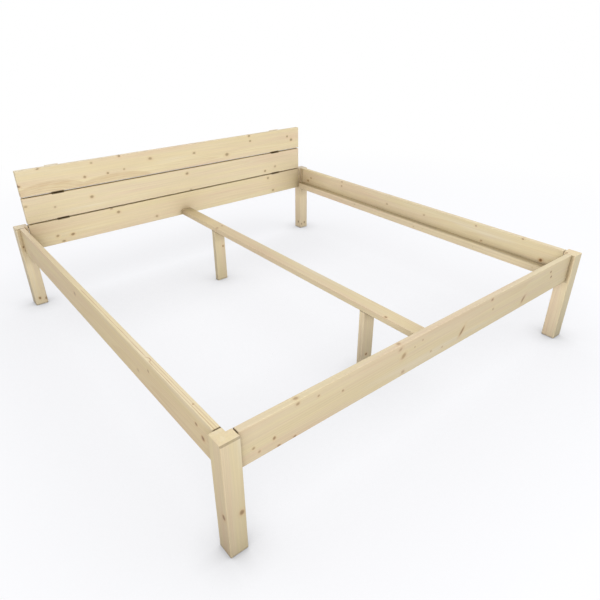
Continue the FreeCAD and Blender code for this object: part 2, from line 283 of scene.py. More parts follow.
def spruceGroup():
    tree, w, given, out = newGroup(
        "spruce", "ShaderNodeTree",
        [("Grain", "Vector"), ("Near", "Float"), ("Depth", "Float"), ("Vein", "Float"), ("Seam", "Float"),
         ("Pith", "Vector"), ("Seed", "Vector"), ("Rings", "Float"), ("End", "Float"), ("Tint", "Color"),
         ("Ring", "Color"), ("CornerShade", "Float")],
        [("Colour", "Color"), ("Roughness", "Float"), ("Height", "Float")])
    seeded = w.vector("ADD", given["Grain"], given["Seed"])

    def grainNoise(name):
        along, across, octaves, roughness = spruce["noises"][name]
        return w.noise(w.vector("MULTIPLY", seeded, (along, across, across)), octaves, roughness)

    # growth rings
    waves = w.math("MULTIPLY", grainNoise("waves"), spruce["wobble"])
    fromPith = w.vector("MULTIPLY", w.vector("SUBTRACT", given["Grain"], given["Pith"]), (0.0, 1.0, 1.0))
    lean = w.dot(given["Grain"], (spruce["taper"], 0.0, 0.0))
    distance = w.math("ADD", w.math("ADD", w.length(fromPith), waves), lean)
    years = w.math("DIVIDE", distance, spruce["ringPitch"])
    season = w.math("FRACT", w.math("MULTIPLY_ADD", grainNoise("uneven"), spruce["unevenYears"], years))
    lateWood = w.product(w.ramp(season, *spruce["lateRise"]), w.ramp(season, *spruce["lateFall"]))
    patches = w.ramp(grainNoise("patches"), *spruce["patchRange"], *spruce["patchShare"])

    # colour: broad bands, then streaks and fibres, then late wood
    bands = w.node("ShaderNodeValToRGB", {0: grainNoise("bands")})
    stops = bands.color_ramp.elements
    for name, place in spruce["bandStops"].items():
        stops.new(place).color = spruce[name]
    stops.remove(stops[0])  # the two that a new ramp comes with
    stops.remove(stops[-1])
    streaked = w.ramp(grainNoise("streaks"), *spruce["streakRange"], *spruce["streakShade"])
    fibres = grainNoise("fibres")
    shade = w.product(streaked, w.ramp(fibres, *spruce["fibreRange"], *spruce["fibreShade"]))
    plain = w.blend(1.0, bands.outputs[0], shade, "MULTIPLY")
    ringed = w.blend(w.product(lateWood, patches, given["Rings"]), plain, spruce["late"])
    tinted = w.blend(1.0, ringed, given["Tint"], "MULTIPLY")
    ended = w.blend(given["End"], tinted, w.blend(1.0, tinted, spruce["endGrain"], "MULTIPLY"))
    veined = w.blend(given["Vein"], ended, spruce["vein"])

    # knots: an orange halo, a brown ring and a dark heart
    near, depth = given["Near"], given["Depth"]
    halo = w.product(w.ramp(near, *knotLook["haloReach"], 0.0, knotLook["haloShare"]), depth)
    haloed = w.blend(halo, veined, knotLook["halo"])
    knotted = w.product(w.ramp(near, *knotLook["ringReach"]), depth)
    ringedKnot = w.blend(knotted, haloed, given["Ring"])
    heart = w.product(w.ramp(near, *knotLook["heartReach"]), depth)
    hearted = w.blend(heart, ringedKnot, knotLook["heart"])

    # painted shade: shut gaps, joints and places under things darken along lines, and inner corners darken
    # as less sky reaches them
    lineShaded = w.blend(given["Seam"], hearted, spruce["shadeLine"])
    place = w.node("ShaderNodeSeparateXYZ", {0: w.node("ShaderNodeTexCoord").outputs["Object"]}).outputs
    reach = w.ramp(place[1], *spruce["cornerSpan"], *spruce["cornerReach"])
    sky = w.node("ShaderNodeAmbientOcclusion", {"Distance": reach}, samples=spruce["cornerSamples"])
    shut, clear = spruce["cornerOpening"]
    opening = {"Value": sky.outputs["AO"], "From Min": shut, "From Max": clear}
    openness = w.node("ShaderNodeMapRange", opening).outputs[0]
    unshaded = w.math("MAXIMUM", openness, w.ramp(place[2], *spruce["cornerFade"], 0.0, clear))
    # painted shade: inner corners darken as the ambient occlusion shuts out the sky
    cornerShade = w.blend(unshaded, spruce["cornerShadeColour"], rgb(*white))
    cornerShaded = w.blend(given["CornerShade"], lineShaded, cornerShade, "MULTIPLY")

    # roughness and relief
    sanded = w.ramp(fibres, *spruce["fibreRange"], *spruce["roughness"])
    glossed = w.math("SUBTRACT", sanded, w.product(knotted, spruce["knotGloss"]))
    dull = w.ramp(given["Seam"], 0.0, spruce["shadeLineOnset"], 0.0, spruce["shadeLineRoughness"])
    ridges = w.product(lateWood, spruce["lateRelief"])
    grained = w.math("ADD", ridges, w.product(fibres, spruce["fibreRelief"]))
    height = w.math("ADD", grained, w.product(knotted, spruce["knotRelief"]))
    w.give(out, Colour=cornerShaded, Roughness=w.math("MAXIMUM", glossed, dull), Height=height)
    return tree


roundKnot, darkVein, paintedShadeLine, spruceLook = knotGroup(), veinGroup(), shadeLineGroup(), spruceGroup()
seedStep = Vector((3.71, 1.93, 2.57))  # moves the noise to another stretch of timber
sides = {"across": (0.0, 1.0, 0.0), "through": (0.0, 0.0, 1.0)}


def dressBoard(board):
    name = board["node"]
    low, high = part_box(name)
    centre = (low + high) / 2
    axes = ["xyz".index(letter) for letter in board["axes"]]  # along the grain, across, through
    material, w = newMaterial("spruce " + name.replace("_", " "))
    where = w.node("ShaderNodeTexCoord").outputs
    apart = w.node("ShaderNodeSeparateXYZ", {0: where["Object"]}).outputs
    spot = w.node("ShaderNodeCombineXYZ", {slot: apart[axis] for slot, axis in enumerate(axes)}).outputs[0]
    strayed = {"Vector": spot, "Scale": knotLook["wanderScale"], "Detail": 1.0}
    stray = w.vector("SUBTRACT", w.node("ShaderNodeTexNoise", strayed).outputs["Color"], (0.5, 0.5, 0.5))
    wandering = w.vector("ADD", spot, w.scaled(stray, knotLook["wander"]))
    flow = {"Grain": spot, "Near": knotLook["farAway"], "Depth": 0.0}
    for place, radii, darkness, lean in knotsOf(board, centre, axes):
        knot = {"Spot": wandering, "Centre": place, "Radius": radii, "Lean": lean, "Darkness": darkness}
        made = w.group(roundKnot, {**flow, **knot})
        flow = {slot: made[slot] for slot in ("Grain", "Near", "Depth")}
    vein = 0.0
    for side, offset, bow, width, start, end, darkness in board.get("veins", ()):
        line = {"Grain": flow["Grain"], "Vein": vein, "Side": sides[side], "Offset": offset, "Bow": bow,
                "Width": width, "Start": start, "End": end, "Darkness": darkness}
        vein = w.group(darkVein, line)["Vein"]
    # painted shade lines along gaps, joints and corners
    shadeLine = 0.0
    for side, offset, width, start, end, soft, darkness in board.get("shadeLines", ()):
        line = {"Spot": spot, "Seam": shadeLine, "Side": sides[side], "Offset": offset, "Width": width,
                "Start": start, "End": end, "Soft": soft, "Darkness": darkness}
        shadeLine = w.group(paintedShadeLine, line)["Seam"]
    across, through = board["pith"]
    pith = (0.0, centre[axes[1]] + across, centre[axes[2]] + through)
    facing = w.node("ShaderNodeSeparateXYZ", {0: where["Normal"]}).outputs[axes[0]]
    tint = rgb(*board["tint"])
    # painted light and shade by the way each face looks
    for normal, faceLightTint in board.get("faces", ()):
        tint = w.blend(w.ramp(w.dot(where["Normal"], normal), *spruce["faceLightTurn"]), tint, rgb(*faceLightTint))
    look = w.group(spruceLook, {
        **flow, "Vein": vein, "Seam": shadeLine, "Pith": pith, "Seed": board["seed"] * seedStep,
        "Rings": board["rings"], "Tint": tint, "CornerShade": board.get("cornerShade", 1.0),
        "End": w.ramp(w.math("ABSOLUTE", facing), *spruce["endTurn"]),
        "Ring": knotLook[board.get("knotRing", "brownRing")]})
    bump = w.node("ShaderNodeBump", {"Height": look["Height"], "Strength": spruce["bumpStrength"],
                                     "Distance": spruce["bumpHeight"]})
    shader = w.node("ShaderNodeBsdfPrincipled", {
        "Base Color": look["Colour"], "Roughness": look["Roughness"], "Normal": bump.outputs[0],
        "Specular IOR Level": spruce["specular"]})
    w.node("ShaderNodeOutputMaterial", {"Surface": shader.outputs[0]})
    dress(name, material)


def knotsOf(board, centre, axes):
    for along, across, longRadius, shortRadius, darkness, *lean in board.get("knots", ()):
        radii = (longRadius, shortRadius, knotLook["throughRadius"])
        yield (along, across, centre[axes[2]]), radii, darkness, sum(lean)
    for along, across, through, radius, darkness in board.get("cornerKnots", ()):
        radii = (radius * knotLook["cornerStretch"], radius, radius)
        yield (along, across, through), radii, darkness, 0.0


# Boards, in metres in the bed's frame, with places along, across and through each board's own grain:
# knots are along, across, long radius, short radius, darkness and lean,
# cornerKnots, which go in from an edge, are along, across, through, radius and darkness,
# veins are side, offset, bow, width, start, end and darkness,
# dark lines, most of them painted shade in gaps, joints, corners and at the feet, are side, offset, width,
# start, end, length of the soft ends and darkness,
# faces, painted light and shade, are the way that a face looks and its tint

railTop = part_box("foot_rail")[1].z
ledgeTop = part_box("slat_ledge_right")[1].z

footRail = {
    "node": "foot_rail", "axes": "xzy",
    "pith": (0.03, 0.09), "seed": 1.0, "tint": white, "rings": 0.14,
    # painted light on the top: a little bluer
    "faces": [((0.0, 0.0, 1.0), (0.99, 1.00, 1.04))],
    "knots": [
        (-0.900, 0.375, 0.006, 0.005, 0.35), (-0.880, 0.350, 0.006, 0.005, 0.30),
        (-0.825, 0.370, 0.006, 0.007, 0.50), (-0.747, 0.331, 0.007, 0.005, 0.45),
        (-0.735, 0.452, 0.008, 0.006, 0.32), (-0.547, 0.407, 0.006, 0.005, 0.35),
        (-0.251, 0.413, 0.013, 0.013, 0.34, 0.4), (-0.272, 0.449, 0.010, 0.008, 0.25, 0.4),
        (-0.192, 0.426, 0.005, 0.005, 0.24), (-0.150, 0.438, 0.005, 0.005, 0.24),
        (-0.090, 0.364, 0.006, 0.005, 0.24), (-0.020, 0.353, 0.006, 0.005, 0.24),
        (0.100, 0.377, 0.010, 0.021, 0.50, 0.6), (0.290, 0.452, 0.010, 0.007, 0.40),
        (0.555, 0.364, 0.012, 0.018, 0.42, 0.6), (0.770, 0.431, 0.006, 0.006, 0.80),
        (0.784, 0.402, 0.006, 0.006, 0.80), (-0.651, 0.440, 0.006, 0.005, 0.32),
        (-0.809, 0.331, 0.008, 0.005, 0.45), (0.309, 0.402, 0.007, 0.006, 0.25),
        (-0.247, 0.341, 0.011, 0.009, 0.22),
    ],
    "shadeLines": [("across", railTop, 0.050, -1.2, -0.9445, 0.003, 0.55)],  # painted shade on the end by the left post
    "cornerKnots": [(-0.734, railTop, -1.035, 0.007, 0.32), (-0.271, railTop, -1.033, 0.008, 0.30)],
}
dressBoard(footRail)

sideRailLeft = {
    "node": "side_rail_left", "axes": "yzx",
    "pith": (-0.02, 0.10), "seed": 2.0, "tint": (1.07, 1.07, 1.04), "rings": 0.14,
    # painted light on the outer face: warmer and less blue
    "faces": [((-1.0, 0.0, 0.0), (1.02, 0.975, 0.89))],
    "knots": [
        (-0.930, 0.386, 0.009, 0.008, 0.65), (-0.895, 0.417, 0.007, 0.006, 0.50),
        (0.157, 0.420, 0.014, 0.011, 0.30), (-0.572, 0.425, 0.007, 0.007, 0.32),
        (-0.474, 0.374, 0.012, 0.008, 0.18),
    ],
    "cornerKnots": [(-0.863, railTop, -0.985, 0.003, 0.50)],
    "shadeLines": [("across", railTop, 0.050, -1.2, -0.9930, 0.003, 0.55)],  # painted shade on the end by the front post
    "veins": [
        ("through", -0.9908, 0.0, 0.0040, -1.05, -0.56, 0.75),
        ("through", -0.9878, 0.001, 0.0040, -0.56, 0.10, 0.65),
        ("through", -0.9815, -0.001, 0.0035, -1.05, -0.55, 0.52),
        ("through", -0.9925, 0.0105, 0.0040, -0.585, -0.545, 0.95),
    ],
}
dressBoard(sideRailLeft)

sideRailRight = {
    "node": "side_rail_right", "axes": "yzx",
    "pith": (0.01, 0.08), "seed": 3.0, "tint": (1.03, 1.05, 1.085), "rings": 0.12,
    "cornerShade": 0.65,  # its share of the painted corner shade
    "shadeLines": [("across", ledgeTop, 0.011, -1.2, -0.50, 0.25, 0.16)],  # painted shade on the foot half, just above the ledge
    "knots": [
        (0.936, 0.388, 0.011, 0.009, 0.50), (0.902, 0.414, 0.010, 0.007, 0.45),
        (0.572, 0.458, 0.008, 0.006, 0.40), (0.575, 0.429, 0.008, 0.006, 0.35),
        (0.150, 0.408, 0.008, 0.006, 0.35), (-0.148, 0.416, 0.008, 0.006, 0.25),
        (-0.504, 0.450, 0.008, 0.006, 0.30), (-0.550, 0.378, 0.008, 0.006, 0.35),
        (-0.783, 0.460, 0.008, 0.005, 0.40), (-0.897, 0.381, 0.009, 0.008, 0.95),
    ],
}
dressBoard(sideRailRight)

# painted shade in the gaps between the planks: under, upper and lower are its darkness above the upper gap,
# below it, and on both sides of the lower gap
gapShade = {"width": 0.0025, "end": 0.96, "soft": 0.01, "under": 0.40, "upper": 0.04, "lower": 0.03}
battenShade = {
    "width": 0.0045, "soft": 0.004, "under": 0.80, "upper": 0.80, "lower": 0.66,
    "spans": ((-0.794, -0.724), (0.699, 0.769)),
}
shadeLineInset = 0.0005  # metres from a plank's edge


def plankShadeLines(plank, edge, gap):
    low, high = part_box(plank)
    height = low.z + shadeLineInset if edge == "bottom" else high.z - shadeLineInset
    end = gapShade["end"]
    yield "across", height, gapShade["width"], -end, end, gapShade["soft"], gapShade[gap]
    for start, stop in battenShade["spans"]:  # painted shadow where a batten shuts the gap
        yield "across", height, battenShade["width"], start, stop, battenShade["soft"], battenShade[gap]


headPlankUpper = {
    "node": "head_plank_upper", "knotRing": "oliveRing", "axes": "xzy",
    "pith": (-0.035, 0.045), "seed": 4.0, "tint": (1.0, 1.01, 1.02), "rings": 0.20,
    "knots": [
        (-0.946, 0.681, 0.009, 0.008, 0.65), (-0.835, 0.757, 0.010, 0.005, 0.42),
        (-0.600, 0.673, 0.010, 0.008, 0.42), (-0.467, 0.673, 0.008, 0.007, 0.45),
        (-0.551, 0.744, 0.009, 0.007, 0.25), (-0.386, 0.758, 0.009, 0.007, 0.50),
        (-0.369, 0.680, 0.008, 0.007, 0.30), (-0.200, 0.715, 0.014, 0.009, 0.40),
        (0.097, 0.704, 0.011, 0.008, 0.35), (0.338, 0.659, 0.015, 0.011, 0.45),
        (0.527, 0.721, 0.009, 0.008, 0.45), (0.520, 0.755, 0.011, 0.008, 0.45),
        (0.845, 0.711, 0.008, 0.008, 0.55), (0.881, 0.683, 0.012, 0.011, 0.50),
    ],
    "veins": [
        ("across", 0.640, 0.038, 0.055, -0.98, -0.605, 0.24),
        ("across", 0.628, 0.037, 0.008, -0.98, -0.62, 0.38),
        ("across", 0.616, 0.035, 0.008, -1.00, -0.64, 0.36),
        ("across", 0.604, 0.035, 0.008, -1.02, -0.66, 0.32),
        ("across", 0.628, 0.034, 0.045, -0.66, -0.195, 0.25),
        ("across", 0.618, 0.032, 0.007, -0.64, -0.20, 0.36),
        ("across", 0.608, 0.030, 0.007, -0.62, -0.21, 0.32),
    ],
    "shadeLines": [*plankShadeLines("head_plank_upper", "bottom", "under")],
}
dressBoard(headPlankUpper)

headPlankMiddle = {
    "node": "head_plank_middle", "knotRing": "oliveRing", "axes": "xzy",
    "pith": (0.05, 0.12), "seed": 5.0, "tint": (1.0, 1.01, 1.04), "rings": 0.10,
    "faces": [((0.0, 0.0, 1.0), (1.28, 1.22, 0.90))],  # painted light on the top inside the upper gap: lighter and warmer
    "knots": [
        (-0.582, 0.556, 0.012, 0.010, 0.45), (-0.938, 0.570, 0.011, 0.008, 0.30),
        (-0.791, 0.539, 0.008, 0.007, 0.30), (0.033, 0.584, 0.012, 0.009, 0.45),
        (0.643, 0.497, 0.011, 0.009, 0.45), (0.732, 0.516, 0.012, 0.009, 0.30),
        (0.049, 0.477, 0.009, 0.005, 0.35),
    ],
    "shadeLines": [*plankShadeLines("head_plank_middle", "top", "upper"),
              *plankShadeLines("head_plank_middle", "bottom", "lower")],
}
dressBoard(headPlankMiddle)

headPlankLower = {
    "node": "head_plank_lower", "knotRing": "oliveRing", "axes": "xzy",
    "pith": (-0.02, 0.10), "seed": 6.0, "tint": white, "rings": 0.10,
    "faces": [((0.0, 0.0, 1.0), (1.22, 1.24, 1.15))],  # painted light on the top inside the lower gap: lighter
    "knots": [
        (-0.445, 0.433, 0.012, 0.009, 0.45), (-0.729, 0.363, 0.012, 0.008, 0.60),
        (-0.812, 0.372, 0.010, 0.008, 0.42), (-0.786, 0.335, 0.012, 0.007, 0.40),
        (-0.484, 0.462, 0.011, 0.005, 0.35), (-0.207, 0.354, 0.011, 0.008, 0.35),
        (0.667, 0.443, 0.011, 0.009, 0.40), (0.709, 0.347, 0.012, 0.009, 0.40),
    ],
    "shadeLines": [*plankShadeLines("head_plank_lower", "top", "lower"),
              ("across", 0.40, 0.3, 0.62, 1.4, 0.33, 0.17)],  # painted shade by the right post
}
dressBoard(headPlankLower)

footShade = ("across", 0.0, 3.0, -0.1, 0.012, 0.010, 0.28)  # the last of a leg above the floor

postFrontLeft = {
    "node": "post_front_left", "axes": "zxy",
    "pith": (0.05, 0.06), "seed": 7.0, "tint": white, "rings": 0.12,
    # painted light on the left face, a little warmer
    "faces": [((-1.0, 0.0, 0.0), (1.02, 1.00, 0.96))],
    "cornerKnots": [(0.173, -0.966, -1.066, 0.009, 0.50), (0.170, -1.017, -1.046, 0.009, 0.60)],
    "shadeLines": [footShade,
              ("through", -1.0645, 0.0045, 0.458, 0.485, 0.004, 0.44)],  # dark line along the top front edge
}
dressBoard(postFrontLeft)

postFrontRight = {
    "node": "post_front_right", "axes": "zxy",
    "pith": (0.02, 0.07), "seed": 8.6, "tint": (1.03, 1.03, 1.04), "rings": 0.16,
    # painted light on the left face, and the front a little less pink
    "faces": [((-1.0, 0.0, 0.0), (1.11, 1.12, 1.17)), ((0.0, -1.0, 0.0), (0.99, 1.01, 1.03))],
    "veins": [
        ("through", -1.030, 0.014, 0.004, -0.05, 0.33, 0.14),
        ("through", -1.032, -0.014, 0.004, -0.05, 0.33, 0.14),
    ],
    "shadeLines": [footShade,
              ("through", -1.048, 0.013, 0.318, 0.4645, 0.002, 0.30)],  # in the foot rail's shade
}
dressBoard(postFrontRight)

postRearLeft = {
    "node": "post_rear_left", "knotRing": "oliveRing", "axes": "zxy",
    "pith": (-0.05, 0.05), "seed": 9.0, "tint": (1.02, 1.02, 1.06), "rings": 0.12,
    "cornerKnots": [(0.362, -1.003, 1.000, 0.005, 0.60), (0.041, -0.990, 1.000, 0.007, 0.65),
                    (0.031, -0.956, 1.000, 0.008, 0.50)],
    "shadeLines": [footShade,
              ("through", 1.0020, 0.0045, 0.458, 0.485, 0.004, 0.44)],  # dark line along the top front edge
}
dressBoard(postRearLeft)

postRearRight = {
    "node": "post_rear_right", "knotRing": "oliveRing", "axes": "zxy",
    "pith": (-0.04, -0.06), "seed": 10.0, "tint": (1.03, 1.03, 1.11), "rings": 0.12,
    # painted light on the left face, painted shade on the top
    "faces": [((-1.0, 0.0, 0.0), (1.16, 1.14, 1.20)), ((0.0, 0.0, 1.0), (0.87, 0.90, 1.04))],
    "shadeLines": [footShade,
              ("across", 0.968, 0.010, 0.36, 0.4645, 0.006, 0.15)],  # painted shade between the plank's end and the rail
    "cornerKnots": [(0.045, 0.951, 1.026, 0.008, 0.45), (0.039, 0.990, 1.000, 0.008, 0.45),
                    (0.032, 0.962, 1.000, 0.007, 0.40)],
}
dressBoard(postRearRight)

battenLeft = {
    "node": "headboard_batten_left", "axes": "zxy",
    "pith": (0.04, 0.05), "seed": 11.0, "tint": white, "rings": 0.16,
    "knots": [(0.450, -0.740, 0.010, 0.007, 0.50), (0.690, -0.772, 0.008, 0.006, 0.45)],
}
dressBoard(battenLeft)

battenRight = {
    "node": "headboard_batten_right", "axes": "zxy",
    "pith": (-0.05, 0.06), "seed": 12.0, "tint": white, "rings": 0.16,
    "knots": [(0.560, 0.762, 0.010, 0.008, 0.50)],
}
dressBoard(battenRight)

slatLedgeLeft = {
    "node": "slat_ledge_left", "axes": "yzx",
    "pith": (0.06, 0.05), "seed": 13.0, "tint": white, "rings": 0.14,
    "knots": [(-0.420, 0.345, 0.008, 0.006, 0.40), (0.530, 0.352, 0.008, 0.006, 0.40)],
}
dressBoard(slatLedgeLeft)

slatLedgeRight = {
    "node": "slat_ledge_right", "axes": "yzx",
    "pith": (-0.05, 0.07), "seed": 14.0, "tint": (1.01, 1.01, 1.07), "rings": 0.14,
    # painted shade on the top
    "faces": [((0.0, 0.0, 1.0), (0.92, 0.94, 0.985))],
    "knots": [(-0.110, 0.340, 0.007, 0.005, 0.20), (0.400, 0.350, 0.007, 0.005, 0.20)],
    "veins": [("across", 0.352, 0.0, 0.005, -1.05, 1.05, 0.16),
              ("across", 0.334, 0.0, 0.006, -1.05, 1.05, 0.16)],
    "shadeLines": [("through", 0.955, 0.016, -1.2, 0.4, 0.6, 0.16),  # shade of the rail on the foot half
              ("across", ledgeTop, 0.005, -1.2, -0.50, 0.25, 0.18)],  # and on the ledge's upper edge there
}
dressBoard(slatLedgeRight)

centreBeam = {
    "node": "centre_beam", "axes": "yxz",
    "pith": (0.04, -0.05), "seed": 15.0, "tint": white, "rings": 0.14,
    "knots": [(0.588, -0.028, 0.009, 0.007, 0.45), (0.600, 0.014, 0.008, 0.006, 0.40)],
    "cornerKnots": [(-0.761, -0.027, 0.358, 0.006, 0.60)],
    "veins": [
        ("across", -0.014, 0.002, 0.003, -1.1, 1.1, 0.16),
        ("across", 0.010, -0.003, 0.003, -1.1, 1.1, 0.14),
        ("across", 0.024, 0.0, 0.002, -0.6, 0.9, 0.16),
    ],
    "shadeLines": [("across", 0.0, 0.2, 0.92, 1.3, 0.10, 0.22)],  # painted shade at the head end
}
dressBoard(centreBeam)

centreLegFront = {
    "node": "centre_leg_front", "axes": "zxy",
    "pith": (0.05, 0.03), "seed": 16.0, "tint": white, "rings": 0.14,
    # painted light on the left face, painted shade on the front
    "faces": [((-1.0, 0.0, 0.0), (1.07, 1.09, 1.16)), ((0.0, -1.0, 0.0), (0.93, 0.95, 0.99))],
    "knots": [(0.098, -0.004, 0.008, 0.007, 0.60)],
    "veins": [("through", -0.631, 0.0, 0.003, -0.02, 0.36, 0.35)],
    "shadeLines": [footShade,
              ("through", -0.630, 0.040, 0.3235, 0.35, 0.004, 0.40)],  # painted shade under the beam
}
dressBoard(centreLegFront)

centreLegRear = {
    "node": "centre_leg_rear", "axes": "zxy",
    "pith": (-0.04, 0.05), "seed": 17.0, "tint": (1.00, 1.01, 1.03), "rings": 0.14,
    # painted shade on the left face
    "faces": [((-1.0, 0.0, 0.0), (0.93, 0.94, 1.00))],
    "knots": [(0.221, 0.018, 0.008, 0.006, 0.55)],
    "shadeLines": [footShade,
              ("through", 0.630, 0.040, 0.3235, 0.35, 0.004, 0.40)],  # painted shade under the beam
}
dressBoard(centreLegRear)
print("spruce boards dressed")


# Beech dowels

beech = {
    "base": rgb(0.62, 0.42, 0.26),
    "fleck": rgb(0.47, 0.29, 0.16),
    "fleckScale": (1400.0, 1400.0, 160.0),
    "fleckRange": (0.52, 0.72),
    "toneScale": (180.0, 180.0, 14.0),
    "toneRange": (0.2, 0.8),
    "toneShare": (0.5, 1.0),
    "roughRange": (0.3, 0.7),
    "roughness": (0.50, 0.64),
    "bumpStrength": 0.3,
    "bumpHeight": 0.0002,
}


def beechMaterial():
    material, w = newMaterial("beech dowel")
    where = w.node("ShaderNodeTexCoord").outputs["Object"]
    flecks = w.noise(w.vector("MULTIPLY", where, beech["fleckScale"]), detail=3.0, roughness=0.6)
    tone = w.noise(w.vector("MULTIPLY", where, beech["toneScale"]), detail=2.0)
    toned = w.ramp(tone, *beech["toneRange"], *beech["toneShare"])
    flecked = w.product(w.ramp(flecks, *beech["fleckRange"]), toned)
    bump = w.node("ShaderNodeBump", {"Height": flecks, "Strength": beech["bumpStrength"],
                                     "Distance": beech["bumpHeight"]})
    shader = w.node("ShaderNodeBsdfPrincipled", {
        "Base Color": w.blend(flecked, beech["base"], beech["fleck"]), "Normal": bump.outputs[0],
        "Roughness": w.ramp(flecks, *beech["roughRange"], *beech["roughness"])})
    w.node("ShaderNodeOutputMaterial", {"Surface": shader.outputs[0]})
    return material


dress("leg_dowels", beechMaterial())
print("dowels dressed")


# Zinc-plated steel for the fittings, yellow passivated for the screws

zincSteel = {
    "base": rgb(0.60, 0.61, 0.62),
    "spangle": rgb(0.72, 0.73, 0.75),
    "roughness": (0.28, 0.46),
}
yellowZinc = {
    "base": rgb(0.66, 0.53, 0.29),
    "spangle": rgb(0.74, 0.62, 0.40),
    "roughness": (0.26, 0.40),
}
coating = {
    "spangleScale": 260.0,    # cells per metre
    "spangleMix": (0.34, 0.33, 0.33),
    "spangleRange": (0.2, 0.8),
    "cloudScale": 900.0,
    "cloudRange": (0.3, 0.7),
    "bumpStrength": 0.15,
    "bumpHeight": 0.0001,
}


def zincMaterial(name, zinc):
    material, w = newMaterial(name)
    where = w.node("ShaderNodeTexCoord").outputs["Object"]
    voronoi = {"Vector": where, "Scale": coating["spangleScale"]}
    cells = w.dot(w.node("ShaderNodeTexVoronoi", voronoi).outputs["Color"], coating["spangleMix"])
    cloud = w.noise(w.scaled(where, coating["cloudScale"]), detail=3.0)
    colour = w.blend(w.ramp(cells, *coating["spangleRange"]), zinc["base"], zinc["spangle"])
    bump = w.node("ShaderNodeBump", {"Height": cloud, "Strength": coating["bumpStrength"],
                                     "Distance": coating["bumpHeight"]})
    shader = w.node("ShaderNodeBsdfPrincipled", {
        "Base Color": colour, "Metallic": 1.0, "Normal": bump.outputs[0],
        "Roughness": w.ramp(cloud, *coating["cloudRange"], *zinc["roughness"])})
    w.node("ShaderNodeOutputMaterial", {"Surface": shader.outputs[0]})
    return material


plateZinc = zincMaterial("zinc plated steel", zincSteel)
screwZinc = zincMaterial("yellow zinc", yellowZinc)
for name in nodes:
    if name.startswith(("hook_plate", "keeper_plate", "beam_bracket")):
        dress(name, plateZinc)
print("fittings dressed")


# Screws: a crowned countersunk head with a cross recess, a thread, and a turn of its own for each

screw = {
    "headRadius": 0.00415,   # just covers the hole that is drilled for it
    "coreRadius": 0.0015,
    "threadRadius": 0.0006,
    "pitch": 0.0030,
    "threadShare": 0.62,     # of the screw's length
    "threadTipShare": 0.55,  # of the core's radius, where the thread starts
    "bareTip": 0.002,        # metres before it starts
    "tipShare": 0.35,        # of the core's radius, at the tip
    "crownShare": 0.72,      # of the head's radius, on top of the crown
    "recessShares": (1.02, 0.24, 0.70),  # length, width and height of an arm, in head radii
    "headSides": 20,
    "coreSides": 10,
    "threadSteps": 10,       # in each turn
    "threadSides": 3,
    "mostSpin": 3.14,        # radians
    "seed": 11,
    "crowns": {              # metres that each group's heads stand proud
        "hook_plate_screws": 0.0001, "keeper_plate_screws": 0.0001, "ledge_screws": 0.0005,
        "batten_screws": 0.0005, "beam_bracket_screws": 0.0001,
    },
}


